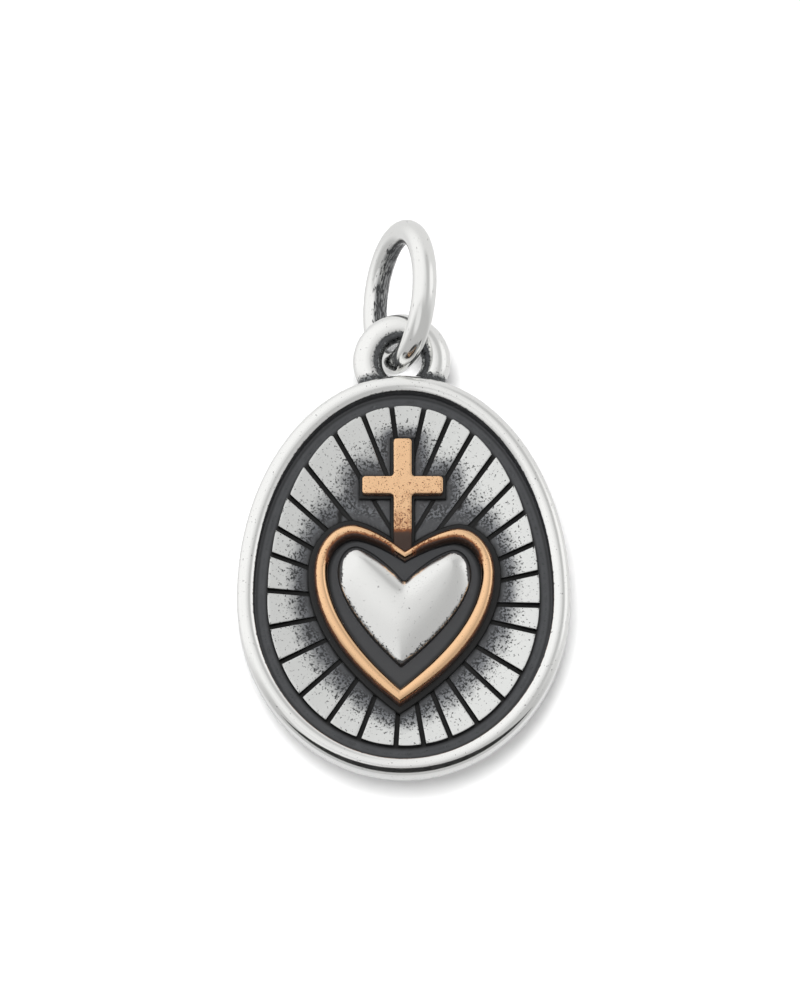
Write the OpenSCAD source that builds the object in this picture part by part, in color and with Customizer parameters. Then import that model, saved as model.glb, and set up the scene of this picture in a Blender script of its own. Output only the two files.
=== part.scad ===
// A silver medal with raised rays, a puffed heart and a bronze heart and cross,
// hanging by its eye from a loose jump ring. Sizes are in millimetres.
// X points right, Z up, and the face looks towards -Y.
// The origin is where a chain bears, on the inside of the jump ring at its top.
// The medal is drawn lying on its back, with x and y in its plane and the height
// above its back as z, and is then stood up in its hanging place.

/* [Medal] */
// Width of the medal at its widest line
medal_w = 15; // [13:0.1:20]
// Height of the medal above its widest line
medal_up = 10.2; // [9:0.1:14]
// Height of the medal below its widest line
medal_down = 8.1; // [7:0.1:12]
// Fullness of the outline, where 2 is a plain ellipse
outline_power = 2.01; // [1.9:0.01:2.5]
// Thickness of the medal at the crest of its rim
medal_t = 2; // [1.8:0.05:3]
// Thickness of the plate under the sunk face
floor_t = 0.9; // [0.5:0.05:1]
// Width of the rounded rim
rim_w = 0.75; // [0.5:0.05:1]
// Radius of the rim's rounding, which ends in a sharp edge over the channel
rim_round = 0.43; // [0.4:0.01:0.7]
// Width of the dark channel between the rim and the rays
channel_w = 0.62; // [0.4:0.02:0.9]
// Radius of the edge all round the back
back_r = 0.25; // [0.1:0.05:0.4]

/* [Rays] */
// Height of the rays above the back, at their outer ends
ray_top = 1.5; // [1.2:0.05:1.7]
// Fall of the rays towards the middle, for each millimetre
ray_fall = 0.17; // [0.05:0.01:0.25]
// Width of the cuts between the rays
cut_w = 0.22; // [0.15:0.01:0.3]
// Radius of the rays' corners
ray_corner = 0.09; // [0.06:0.01:0.12]
// Height of the bevel along the rays' edges
ray_bevel = 0.06; // [0.02:0.01:0.1]
// Share of the way from the channel to their aim that the rays run
ray_reach = 0.74; // [0.5:0.02:0.8]
// Height of the aim of the topmost rays above the widest line
aim_up = 4.9; // [3:0.1:6]
// Depth of the aim of the lowest rays below the widest line
aim_down = 1.3; // [0.5:0.1:2]

/* [Heart and cross] */
// Width of the bronze heart
heart_w = 8.16; // [7:0.02:9]
// Height of its lobes above its widest line
heart_up = 2.14; // [1.8:0.02:2.6]
// Depth of its point below its widest line
heart_down = 6.05; // [5:0.05:7]
// Distance of each lobe's top from the middle
lobe_x = 2.37; // [2:0.01:2.6]
// Depth of the notch below the lobes' tops
notch = 1.15; // [0.8:0.05:1.4]
// Height of the heart's widest line above the medal's
heart_y = 1.1; // [0.5:0.05:1.6]
// Clockwise turn of the heart
heart_turn = 2; // [0:0.5:4]
// Width of the bronze band along its sides
band_w = 0.62; // [0.45:0.01:0.75]
// Height of the band's crest above the back
band_top = 2.15; // [1.9:0.05:2.5]
// Width of the step that shows round the bronze
step_w = 0.28; // [0.15:0.01:0.4]
// Height of the step, on which the bronze is soldered
step_top = 1.35; // [1.1:0.05:1.5]
// Height of the cross from the notch to its top
cross_h = 5.25; // [4:0.05:6]
// Width across the cross's arms
cross_span = 3.65; // [2.5:0.05:4.5]
// Width of the cross's bars
bar_w = 0.82; // [0.6:0.02:1]
// Height of the arms' middle line above the notch
arm_y = 3.2; // [2.5:0.02:4]
// Distance of the cross to the left of the middle
cross_x = 0.04; // [0:0.01:0.1]
// Height of the cross's face above the back
cross_top = 1.95; // [1.7:0.05:2.3]
// Radius of the cross's corners
cross_corner = 0.14; // [0.11:0.01:0.25]
// Height of the bevel along the cross's edges
cross_bevel = 0.14; // [0.05:0.01:0.2]

/* [Puffed heart] */
// Width of the silver heart
puff_w = 5.94; // [5:0.02:6.2]
// Height of its lobes above the widest line
puff_up = 1.1; // [0.9:0.02:1.3]
// Depth of its point below the widest line
puff_down = 4.2; // [3.5:0.05:4.6]
// Distance of each lobe's top from the middle
puff_lobe_x = 2.2; // [1.8:0.02:2.3]
// Depth of its notch below the lobes' tops
puff_notch = 1.53; // [1.2:0.02:1.7]
// Height of its crest above the back
puff_top = 2.3; // [1.9:0.05:2.5]
// Height of the moat's floor round it
moat_floor = 1.1; // [1:0.05:1.2]

/* [Eye and jump ring] */
// Thickness of the eye's round wall
eye_wire = 1.31; // [1:0.01:1.5]
// Radius of the eye, to the middle of its wall
eye_r = 1.55; // [1.4:0.01:2]
// Height of the eye's middle above the medal's top edge
eye_rise = 0.76; // [0.5:0.02:1.2]
// Height of the eye's middle above the medal's back
eye_level = 0.95; // [0.7:0.05:1.2]
// Distance of the eye's middle to the left of the medal's
eye_shift = 0.08; // [0:0.01:0.15]
// Radius of the fillets where the eye meets the rim
neck_r = 0.5; // [0.2:0.05:0.8]
// Thickness of the fillets
neck_t = 0.8; // [0.4:0.05:0.9]
// Thickness of the jump ring's wire
wire_d = 1.08; // [0.8:0.01:1.2]
// Radius of the jump ring, to the middle of its wire
ring_r = 3; // [2.8:0.05:4]
// Play between the jump ring and the eye's wall above it
ring_play = 0.33; // [0.1:0.01:0.4]
// Turn of the jump ring out of the medal's middle plane
ring_turn = 22; // [0:1:25]
// Lean of the jump ring to the right
ring_lean = 2; // [0:0.5:8]
// Distance of the ring's lowest point to the left of the eye's middle
ring_shift = 0.2; // [0:0.01:0.22]
// Distance of the ring's lowest point behind the eye's middle
ring_back = 0.1; // [0:0.05:0.3]

/* [Hidden] */
// Bearings of the cuts' outer ends, in degrees clockwise from the top. They
// are spaced by eye, as on the hand-cut pattern
CUTS = [7, 16, 25, 35, 46, 57, 69, 80, 93, 104, 122, 135, 149, 161, 172, 183, 198, 212, 227, 243,
        258, 273, 287, 297, 309, 321, 335, 346, 356];
// How fast the rays' aim leaves the middle for the highest and lowest rays
AIM_POWER = 5;
// Stations round the outline, and steps over the rim's crown
STATIONS = 108;
CROWN_STEPS = 8;
// Points along a half heart: from notch to lobe top, to the side, to the point
ARCH_STEPS = 7;
SHOULDER_STEPS = 7;
FLANK_STEPS = 14;
// Curve of the arch from the lobe's top down to the notch
ARCH_POWER = 1.5;
// Curve of each flank from the side to the point, where 1 is straight
BAND_POWER = 2.15;
BAND_INNER_POWER = 2;
PUFF_POWER = 1.65;
// The inner outline of the band, as shares of its width
POINT_SHARE = 1.25;
NOTCH_SHARE = 0.66;
LOBE_SHARE = 0.2;
// The bronze band's section: share across its width, and share of its height
BAND_SECTION = [[0, 0], [0, 0.45], [0.09, 0.72], [0.26, 0.93], [0.5, 1], [0.74, 0.93], [0.91, 0.72],
                [1, 0.45], [1, 0]];
// The puffed heart swells from its outline to a V-shaped crest: the layers as
// shares of the way there, and the share of its height that its edge stands
PUFF_LAYERS = [0, 0.05, 0.15, 0.3, 0.5, 0.7, 0.9];
PUFF_EDGE = 0.42;
// The crest as shares of the heart: its spread, the depth of its bend and the
// height of its ends, and how softly it bends in the middle
CREST_X = 0.62;
CREST_DROP = 0.36;
CREST_UP = 0.45;
CREST_BEND = 0.7;
// Share of its width that a cut loses on the way to its aim
CUT_TAPER = 1 / 3;
// Depth by which one form is sunk in another that it is cast with
SUNK = 0.3;
// Margin by which a levelling cut passes the edge of what it levels
SKIM = 0.02;
FINE = 40;
ROUND = 16;
POST_SIDES = 8;

eye_y = medal_up + eye_rise;
ray_inset = rim_w + channel_w;
notch_y = heart_up - notch;
// Height at which the raised forms start, sunk in the plate
relief_foot = floor_t - SUNK;
// Radius to which the fillets run into the eye's wall
neck_reach = eye_r + eye_wire / 3;
// Where the medal's eye bears, from the eye's middle, and the jump ring's place
ring_low = [-ring_shift, ring_back, eye_r - (eye_wire + wire_d) / 2 - ring_play];
ring_up = [sin(ring_lean), 0, cos(ring_lean)];
ring_middle = ring_low + ring_r * ring_up;
hang_point = ring_middle + (ring_r - wire_d / 2) * ring_up;

// Outline sizes of the four hearts: half width, up, down, lobe, notch height, flank
BAND = [heart_w / 2, heart_up, heart_down, lobe_x, notch_y, BAND_POWER];
BAND_INNER = [heart_w / 2 - band_w, heart_up - band_w, heart_down - band_w * POINT_SHARE,
              lobe_x - band_w * LOBE_SHARE, notch_y - band_w * NOTCH_SHARE, BAND_INNER_POWER];
STEP = [heart_w / 2 + step_w, heart_up + step_w, heart_down + step_w * POINT_SHARE, lobe_x,
        notch_y + step_w, BAND_POWER];
PUFF = [puff_w / 2, puff_up, puff_down, puff_lobe_x, puff_up - puff_notch, PUFF_POWER];

function unit(v) = v / norm(v);
function side_of(v) = [-v.y, v.x];
function at_height(points, h) = [for (p = points) [p.x, p.y, h]];
function mix(a, b, share) = a + (b - a) * share;

// The medal's outline at a bearing, as a polar superellipse with a taller top
function edge(bearing) =
    let (
        across = abs(sin(bearing)) / (medal_w / 2),
        along = abs(cos(bearing)) / (cos(bearing) > 0 ? medal_up : medal_down),
        reach = pow(pow(across, outline_power) + pow(along, outline_power), -1 / outline_power)
    ) reach * [sin(bearing), cos(bearing)];

// The same outline set in by a distance, square to the edge
function inset(bearing, d) = edge(bearing) - d * unit(side_of(edge(bearing + 1) - edge(bearing - 1)));
function outline(d) = [for (i = [0 : STATIONS - 1]) inset(i * 360 / STATIONS, d)];

// Half a heart, clockwise from its notch, then the whole outline
function half_heart(s) = concat(
    [for (i = [0 : ARCH_STEPS - 1])
        let (share = i / ARCH_STEPS) [s[3] * share, s[1] - (s[1] - s[4]) * pow(1 - share, ARCH_POWER)]],
    [for (i = [0 : SHOULDER_STEPS - 1])
        let (a = 90 - 90 * i / SHOULDER_STEPS) [s[3] + (s[0] - s[3]) * cos(a), s[1] * sin(a)]],
    [for (i = [0 : FLANK_STEPS])
        let (share = i / FLANK_STEPS) [s[0] * (1 - pow(share, s[5])), -s[2] * share]]);
function heart(s) = let (half = half_heart(s), last = len(half) - 1)
    concat(half, [for (i = [last - 1 : -1 : 1]) [-half[i].x, half[i].y]]);

// Faces between two neighbouring rings of n points, whose first points are a and b
function strip(a, b, n) = [for (i = [0 : n - 1], k = [0, 1])
    let (j = (i + 1) % n) k == 0 ? [a + i, b + i, b + j] : [a + i, b + j, a + j]];

// A bar swept round a closed path: one ring of points for each station
module swept(rings) {
    n = len(rings[0]);
    count = len(rings);
    points = [for (ring = rings) each ring];
    faces = [for (i = [0 : count - 1]) each strip(i * n, ((i + 1) % count) * n, n)];
    polyhedron(points, faces, convexity = 10);
}

// A solid built up from closed outlines, lowest first
module lofted(layers) {
    n = len(layers[0]);
    count = len(layers);
    points = [for (layer = layers) each layer];
    sides = [for (i = [0 : count - 2]) each strip((i + 1) * n, i * n, n)];
    bottom = [for (i = [n - 1 : -1 : 0]) i];
    top = [for (i = [0 : n - 1]) (count - 1) * n + i];
    polyhedron(points, concat([bottom], sides, [top]), convexity = 10);
}

// The blank: its outline from the back's edge, over the rim's round crown to the
// sharp edge where the channel cuts it off, and down to the sunk face, as insets
// and heights
CROWN_END = acos(rim_w / rim_round - 1);
RIM_SECTION = concat(
    [[back_r, 0], [0, back_r]],
    [for (i = [0 : CROWN_STEPS]) let (a = 180 - (180 - CROWN_END) * i / CROWN_STEPS)
        rim_round * [1 + cos(a), sin(a) - 1] + [0, medal_t]],
    [[rim_w, floor_t]]);

module blank() {
    lofted([for (p = RIM_SECTION) at_height(outline(p.x), p.y)]);
}

// The space over the sunk face, inside the middle of the rim
module sunk_space() {
    translate([0, 0, floor_t - SUNK / 2]) linear_extrude(height = medal_t) polygon(outline(rim_w / 2));
}

// The rays point at the middle, but the highest aim higher and the lowest lower
function aim(p) = [0, p.y > 0 ? aim_up * pow(p.y / (medal_up - ray_inset), AIM_POWER)
                              : -aim_down * pow(-p.y / (medal_down - ray_inset), AIM_POWER)];

// A point of a ray beside one of its cuts; hand is 1 clockwise of the cut, else -1
function ray_point(bearing, share, hand) =
    let (
        start = inset(bearing, ray_inset + ray_corner),
        goal = aim(start),
        aside = side_of(unit(goal - start)) * hand * (cut_w * (1 - share * CUT_TAPER) / 2 + ray_corner)
    ) mix(start, goal, share) + aside;

// A small round post with a bevelled top, whose height falls with its distance
module ray_post(p, distance) {
    h = max(ray_top - relief_foot - ray_fall * distance, SUNK / 2);
    translate([p.x, p.y, relief_foot]) {
        cylinder(h = h - ray_bevel, r = ray_corner, $fn = POST_SIDES);
        cylinder(h = h, r = ray_corner - ray_bevel / 2, $fn = POST_SIDES);
    }
}

module ray(from, to) {
    middle = inset((from + to) / 2, ray_inset + ray_corner);
    inner = [ray_point(from, ray_reach, 1), ray_point(to, ray_reach, -1)];
    hull() {
        ray_post(ray_point(from, 0, 1), 0);
        ray_post(middle, 0);
        ray_post(ray_point(to, 0, -1), 0);
        for (p = inner) ray_post(p, norm(p - middle));
    }
}

module rays() {
    last = len(CUTS) - 1;
    for (i = [0 : last]) ray(CUTS[i], i < last ? CUTS[i + 1] : CUTS[0] + 360);
}

module heart_place() {
    translate([0, heart_y, 0]) rotate(-heart_turn) children();
}

module cross_place() {
    translate([-cross_x, heart_y, 0]) children();
}

// The cross in plan, widened all round by a margin
module cross_plan(margin) {
    foot = notch_y - band_w * NOTCH_SHARE / 2;
    w = bar_w + 2 * margin;
    top = notch_y + cross_h + margin;
    translate([-w / 2, foot]) square([w, top - foot]);
    translate([-cross_span / 2 - margin, notch_y + arm_y - w / 2]) square([cross_span + 2 * margin, w]);
}

// The step that carries the bronze
module step_plan() {
    heart_place() polygon(heart(STEP));
    cross_place() cross_plan(step_w / 2);
}

// The rays and the step, cut level where the bronze lies, with the moat sunk in it
module relief() {
    difference() {
        union() {
            rays();
            translate([0, 0, relief_foot]) linear_extrude(height = step_top) step_plan();
        }
        translate([0, 0, step_top]) linear_extrude(height = medal_t) offset(delta = SKIM) step_plan();
        heart_place() translate([0, 0, moat_floor]) linear_extrude(height = medal_t)
            polygon(heart(BAND_INNER));
    }
}

// The crest's point for a distance to the side: a V with a soft bend
function crest(x) =
    let (
        low = -CREST_DROP * puff_down,
        slope = (CREST_UP * puff_up - low) / puff_lobe_x
    ) [x * CREST_X, low + slope * (norm([x, CREST_BEND]) - CREST_BEND)];

// One layer of the puffed heart, drawn in towards its crest
function puff_layer(share) =
    let (rise = mix(PUFF_EDGE, 1, 1 - pow(1 - share, 2)))
    at_height([for (p = heart(PUFF)) mix(p, crest(p.x), share)], mix(moat_floor, puff_top, rise));

module puffed_heart() {
    base = at_height(heart(PUFF), relief_foot);
    heart_place() lofted(concat([base], [for (share = PUFF_LAYERS) puff_layer(share)]));
}

// The eye's round wall, and the fillets where it grows out of the rim
module eye() {
    translate([-eye_shift, eye_y, eye_level]) {
        rotate_extrude($fn = FINE) translate([eye_r, 0]) circle(d = eye_wire, $fn = ROUND);
        translate([0, 0, -neck_t / 2]) linear_extrude(height = neck_t) difference() {
            offset(r = -neck_r, $fn = FINE) offset(delta = neck_r) {
                circle(r = neck_reach, $fn = FINE);
                translate([eye_shift, -eye_y]) polygon(outline(rim_w / 2));
            }
            circle(r = eye_r, $fn = FINE);
        }
    }
}

// One bar of the cross, between the middles of its ends, with bevelled edges
module cross_bar(from, to) {
    hull() for (end = [from, to], side = [-1, 1]) {
        along = unit(to - from);
        inwards = end == to ? -along : along;
        p = end + cross_corner * inwards + side * (bar_w / 2 - cross_corner) * side_of(along);
        translate([p.x, p.y, step_top]) {
            cylinder(h = cross_top - step_top - cross_bevel, r = cross_corner, $fn = FINE / 2);
            cylinder(h = cross_top - step_top, r = cross_corner - cross_bevel / 2, $fn = FINE / 2);
        }
    }
}

module cross() {
    cross_bar([0, notch_y - band_w * NOTCH_SHARE / 2], [0, notch_y + cross_h]);
    cross_bar([-cross_span / 2, notch_y + arm_y], [cross_span / 2, notch_y + arm_y]);
}

// The bronze band, lofted between its outer and inner outlines
module band() {
    outer = heart(BAND);
    inner = heart(BAND_INNER);
    swept([for (i = [0 : len(outer) - 1]) [for (s = BAND_SECTION)
        let (p = mix(outer[i], inner[i], s[0])) [p.x, p.y, mix(step_top, band_top, s[1])]]]);
}

// Stands a form up from its back and hangs it under the jump ring
module hung() {
    translate(-hang_point) rotate([90, 0, 0]) translate([eye_shift, -eye_y, -eye_level]) children();
}

module medal() {
    color("silver") hung() {
        blank();
        relief();
        puffed_heart();
        difference() {
            eye();
            sunk_space();
        }
    }
}

module heart_and_cross() {
    color("peru") hung() {
        heart_place() band();
        cross_place() cross();
    }
}

module jump_ring() {
    color("gainsboro") translate(ring_middle - hang_point)
        rotate([0, ring_lean, 0]) rotate([0, 0, ring_turn]) rotate([0, 90, 0])
            rotate_extrude($fn = 2 * FINE) translate([ring_r, 0]) circle(d = wire_d, $fn = 2 * ROUND);
}

medal();
heart_and_cross();
jump_ring();
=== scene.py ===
"""The looks of a sacred heart pendant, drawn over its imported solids.

A small silver medal with rays, a puffed heart and a bronze heart and cross hangs by its eye from
a loose jump ring. The medal is drawn lying on its back, in millimetres: x to the right, y up in
its plane and h above its back. HangingPlace then stands it up where the solids hang, in metres.
"""

import logging
import math
from collections.abc import Callable, Sequence
from dataclasses import dataclass, replace
from enum import Enum

import bmesh
import bpy
import numpy as np
from mathutils import Euler, Matrix, Vector


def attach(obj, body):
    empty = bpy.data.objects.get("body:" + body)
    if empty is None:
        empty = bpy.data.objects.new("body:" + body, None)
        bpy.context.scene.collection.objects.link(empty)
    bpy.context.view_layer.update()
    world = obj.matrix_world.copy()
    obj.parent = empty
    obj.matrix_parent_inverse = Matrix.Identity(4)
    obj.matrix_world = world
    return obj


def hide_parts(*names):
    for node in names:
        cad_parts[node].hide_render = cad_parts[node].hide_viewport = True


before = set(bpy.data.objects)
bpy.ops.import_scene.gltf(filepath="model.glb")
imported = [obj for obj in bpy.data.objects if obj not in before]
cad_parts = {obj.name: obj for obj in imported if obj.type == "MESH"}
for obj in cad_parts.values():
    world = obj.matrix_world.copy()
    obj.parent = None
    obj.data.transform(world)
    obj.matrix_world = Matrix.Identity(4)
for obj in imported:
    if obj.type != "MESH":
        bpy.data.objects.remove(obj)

MM = 0.001
# A thousandth of a millimetre, for comparing places.
HAIR = 0.001 * MM
# The point attribute that says how far the polish reached: 0 where it is bright, 1 where the
# black film is whole. Past 1, up to the constant below, it is painted shade over the film in the
# narrowest corners and recesses.
PATINA_AND_SHADE = "patina"
FILM_AND_PAINTED_SHADE = 2.0
SMOOTH_UP_TO = math.radians(38)
SHARP_FROM = math.radians(50)
# The jump ring's length and girth in millimetres, and how much longer than wide its streaks are.
WIRE_LENGTH = 18.85
WIRE_GIRTH = 3.39
STREAK = 5.0
# Steps of a heart's arch, shoulder and side: for shapes, and for measuring distances.
FINE = (26, 22, 54)
COARSE = (12, 10, 20)
log = logging.getLogger("pendant")

Point = tuple[float, float]
Steps = tuple[int, int, int]
Rule = Callable[[np.ndarray], np.ndarray]


class Body(Enum):
    """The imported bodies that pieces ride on."""

    RING = "ring"
    MEDAL = "medal"


class Slot(Enum):
    """The record's material slots."""

    SILVER = "antiqued_silver"
    BRONZE = "bronze"
    WIRE = "silver_wire"


class Part(Enum):
    """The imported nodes, each with its body and its slot."""

    MEDAL = ("medal", Body.MEDAL, Slot.SILVER)
    BRONZE = ("heart_and_cross", Body.MEDAL, Slot.BRONZE)
    RING = ("jump_ring", Body.RING, Slot.WIRE)


class Close(Enum):
    """How a loft is closed."""

    CAPS = "a face over its first outline and one over its last"
    LOOP = "its last outline joined to its first, as on a ring"


# Plain sums


def smoothstep(low: float, high: float, value: np.ndarray) -> np.ndarray:
    """Rises softly from 0 at low to 1 at high."""
    share = np.clip((value - low) / (high - low), 0.0, 1.0)
    return share * share * (3.0 - 2.0 * share)


def arc(start: float, stop: float, steps: int) -> list[float]:
    """Angles in radians from start to stop degrees, both ends included."""
    return [math.radians(start + (stop - start) * i / steps) for i in range(steps + 1)]


def distance_to(places: np.ndarray, outline: Sequence[Point]) -> np.ndarray:
    """Measures how far places are from a closed outline, inside or outside.

    Args:
        places: Rows that begin with x and y.
        outline: The outline's corners in order.

    Returns:
        The shortest distance of each place.
    """
    corners = np.array(outline)
    best = np.full(len(places), np.inf)
    for start, stop in zip(corners, np.roll(corners, -1, axis=0), strict=True):
        along = stop - start
        share = np.clip((places[:, :2] - start) @ along / max(along @ along, 1e-12), 0.0, 1.0)
        gap = places[:, :2] - start - share[:, None] * along
        best = np.minimum(best, np.hypot(gap[:, 0], gap[:, 1]))
    return best


def inside(places: np.ndarray, outline: Sequence[Point]) -> np.ndarray:
    """Says which places lie inside a closed outline, by counting crossings.

    Args:
        places: Rows that begin with x and y.
        outline: The outline's corners in order.

    Returns:
        True for each place inside.
    """
    corners = np.array(outline)
    found = np.zeros(len(places), dtype=bool)
    x, y = places[:, 0], places[:, 1]
    for (ax, ay), (bx, by) in zip(corners, np.roll(corners, -1, axis=0), strict=True):
        crosses = (ay > y) != (by > y)
        rise = by - ay if abs(by - ay) > 1e-12 else 1e-12
        found ^= crosses & (x < ax + (y - ay) * (bx - ax) / rise)
    return found


@dataclass(frozen=True)
class HangingPlace:
    """Where the lying medal's own middle comes to hang, in millimetres of the row frame."""

    right: float = 0.0894
    front: float = 0.85
    up: float = -16.4417

    def hung(self, x: float, y: float, h: float) -> Vector:
        """Turns a place on the lying medal into one in the row frame, in metres."""
        return Vector((x + self.right, self.front - h, y + self.up)) * MM

    def lying(self, places: np.ndarray) -> np.ndarray:
        """Turns rows of row-frame metres back into x, y and h in millimetres."""
        mm = places / MM
        return np.stack([mm[:, 0] - self.right, mm[:, 2] - self.up, self.front - mm[:, 1]], axis=1)


PLACE = HangingPlace()


@dataclass(frozen=True)
class EggOutline:
    """The medal's outline: a polar superellipse whose top is taller than its bottom."""

    half_width: float = 7.5
    up: float = 10.2
    down: float = 8.1
    power: float = 2.01

    def edge(self, bearing: float) -> np.ndarray:
        """Gives the outline's point at a bearing.

        Args:
            bearing: Degrees clockwise from the top.

        Returns:
            Its x and y.
        """
        turn = math.radians(bearing)
        across = abs(math.sin(turn)) / self.half_width
        along = abs(math.cos(turn)) / (self.up if math.cos(turn) > 0 else self.down)
        reach = (across**self.power + along**self.power) ** (-1 / self.power)
        return reach * np.array([math.sin(turn), math.cos(turn)])

    def inset(self, bearing: float, depth: float) -> np.ndarray:
        """Gives the same point set in by a depth, square to the outline."""
        run = self.edge(bearing + 1) - self.edge(bearing - 1)
        return self.edge(bearing) - depth * np.array([-run[1], run[0]]) / np.hypot(*run)

    def ring(self, depth: float, stations: int) -> list[Point]:
        """Gives the whole outline at a depth, clockwise from the top."""
        return [tuple(self.inset(i * 360 / stations, depth)) for i in range(stations)]


@dataclass(frozen=True)
class HeartOutline:
    """A heart about its widest line: rounded lobes, a sharp notch and curved flanks."""

    half_width: float
    up: float
    down: float
    lobe: float
    notch_y: float
    flank: float
    arch_power: float = 1.5

    def ring(self, steps: Steps) -> list[Point]:
        """Gives the outline, clockwise from the notch.

        Args:
            steps: Steps from the notch to a lobe's top, to its side and to the tip.

        Returns:
            The points, each once.
        """
        arch, shoulder, side = steps
        half = []
        for i in range(arch):
            share = i / arch
            drop = (self.up - self.notch_y) * (1 - share) ** self.arch_power
            half.append((self.lobe * share, self.up - drop))
        for turn in arc(90, 0, shoulder)[:-1]:
            across = self.lobe + (self.half_width - self.lobe) * math.cos(turn)
            half.append((across, self.up * math.sin(turn)))
        for i in range(side + 1):
            share = i / side
            half.append((self.half_width * (1 - share**self.flank), -self.down * share))
        return half + [(-x, y) for x, y in reversed(half[1:-1])]


@dataclass(frozen=True)
class HeartSizes:
    """Sizes that the bronze heart, its step, its moat and the cross share, in millimetres."""

    width: float = 8.16
    up: float = 2.14
    down: float = 6.05
    lobe: float = 2.37
    notch: float = 1.15
    middle_x: float = 0.04
    middle_y: float = 1.1
    turn: float = 2.0
    band: float = 0.62
    step: float = 0.28
    step_top: float = 1.35
    moat_floor: float = 1.1
    cross_x: float = -0.04
    foot_share: float = 0.33

    @property
    def notch_y(self) -> float:
        """Gives the notch's height over the heart's widest line."""
        return self.up - self.notch

    @property
    def cross_foot(self) -> float:
        """Gives the notch's height on the lying medal, from which the cross is measured."""
        return self.notch_y + self.middle_y

    def outer(self, margin: float = 0.0, steps: Steps = FINE) -> list[Point]:
        """Gives the bronze band's outer outline in its place on the medal.

        Args:
            margin: How far outside the band it runs.
            steps: As for HeartOutline.

        Returns:
            The outline's points.
        """
        width, up, down = self.width / 2 + margin, self.up + margin, self.down + margin * 1.25
        shape = HeartOutline(width, up, down, self.lobe, self.notch_y + margin, 2.05)
        return self.set_in(shape.ring(steps))

    def inner(self, steps: Steps = FINE) -> list[Point]:
        """Gives the bronze band's inner outline in its place on the medal.

        Args:
            steps: As for HeartOutline.

        Returns:
            The outline's points.
        """
        shape = HeartOutline(
            self.width / 2 - self.band,
            self.up - self.band,
            self.down - self.band * 1.25,
            self.lobe - self.band * 0.2,
            self.notch_y - self.band * 0.66,
            1.85,
        )
        return self.set_in(shape.ring(steps))

    def set_in(self, points: Sequence[Point]) -> list[Point]:
        """Turns a heart's points clockwise and moves them to their place on the medal."""
        c, s = math.cos(math.radians(self.turn)), math.sin(math.radians(self.turn))
        return [(x * c + y * s + self.middle_x, -x * s + y * c + self.middle_y) for x, y in points]


EGG = EggOutline()
HEART = HeartSizes()


# Bench work


def select_nothing() -> None:
    """Leaves no object selected, because an operator acts on all that is."""
    if bpy.context.object and bpy.context.object.mode != "OBJECT":
        bpy.ops.object.mode_set(mode="OBJECT")
    bpy.ops.object.select_all(action="DESELECT")


def take(piece: bpy.types.Object) -> None:
    """Makes a piece the only selected and the active object.

    Args:
        piece: The piece.
    """
    select_nothing()
    piece.select_set(True)
    bpy.context.view_layer.objects.active = piece


def close_up(piece: bpy.types.Object) -> None:
    """Merges a shell's doubled points and turns its faces outwards.

    Args:
        piece: The shell.
    """
    take(piece)
    bpy.ops.object.mode_set(mode="EDIT")
    bpy.ops.mesh.select_all(action="SELECT")
    bpy.ops.mesh.remove_doubles(threshold=2 * HAIR)
    bpy.ops.mesh.normals_make_consistent(inside=False)
    bpy.ops.object.mode_set(mode="OBJECT")


def choose_edges(piece: bpy.types.Object, wanted: Callable[[bmesh.types.BMEdge], bool]) -> None:
    """Selects just the edges that pass a test, in edit mode.

    Args:
        piece: The piece on the bench.
        wanted: The test.
    """
    bpy.ops.mesh.select_all(action="DESELECT")
    mesh = bmesh.from_edit_mesh(piece.data)
    for edge in mesh.edges:
        if wanted(edge):
            edge.select_set(True)
    bmesh.update_edit_mesh(piece.data)


def finish_with(piece: bpy.types.Object, kind: str, **settings: object) -> None:
    """Adds one modifier and applies it.

    Args:
        piece: The piece that it works on.
        kind: The modifier's type.
        settings: Its settings by name.
    """
    take(piece)
    tool = piece.modifiers.new(kind.title(), kind)
    for name, value in settings.items():
        setattr(tool, name, value)
    bpy.ops.object.modifier_apply(modifier=tool.name)


def lying_places(piece: bpy.types.Object) -> np.ndarray:
    """Gives each of a piece's points on the lying medal.

    Args:
        piece: The piece, its places in its mesh.

    Returns:
        Rows of x, y and h in millimetres.
    """
    places = np.empty(len(piece.data.vertices) * 3)
    piece.data.vertices.foreach_get("co", places)
    return PLACE.lying(places.reshape(-1, 3))


def remesh(piece: bpy.types.Object, grain: float, times: int) -> None:
    """Melts a piece into one even skin and takes its steps off."""
    finish_with(piece, "REMESH", mode="VOXEL", voxel_size=grain * MM)
    finish_with(piece, "SMOOTH", factor=0.5, iterations=times)


def soften(piece: bpy.types.Object, region: str, weights: np.ndarray, times: int) -> None:
    """Smooths one region of a piece.

    Args:
        piece: The piece.
        region: The region's name.
        weights: How far each point belongs to it, from 0 to 1.
        times: How many times it is smoothed.
    """
    group = piece.vertex_groups.new(name=region)
    for index, weight in enumerate(weights):
        if weight > 0.01:
            group.add([index], float(weight), "REPLACE")
    finish_with(piece, "SMOOTH", factor=0.5, iterations=times, vertex_group=region)


def join(name: str, parts: Sequence[bpy.types.Object]) -> bpy.types.Object:
    """Joins parts into one piece.

    Args:
        name: The piece's name.
        parts: Two or more parts.

    Returns:
        The piece.
    """
    take(parts[0])
    for part in parts:
        part.select_set(True)
    bpy.ops.object.join()
    whole = bpy.context.object
    whole.name = name
    whole.data.name = name
    return whole


@dataclass(frozen=True)
class Layer:
    """One outline of a loft: its points, its height above the back and its patina, with painted shade past
    1.
    """

    points: Sequence[Point]
    height: float
    patina: float = 0.0


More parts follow.
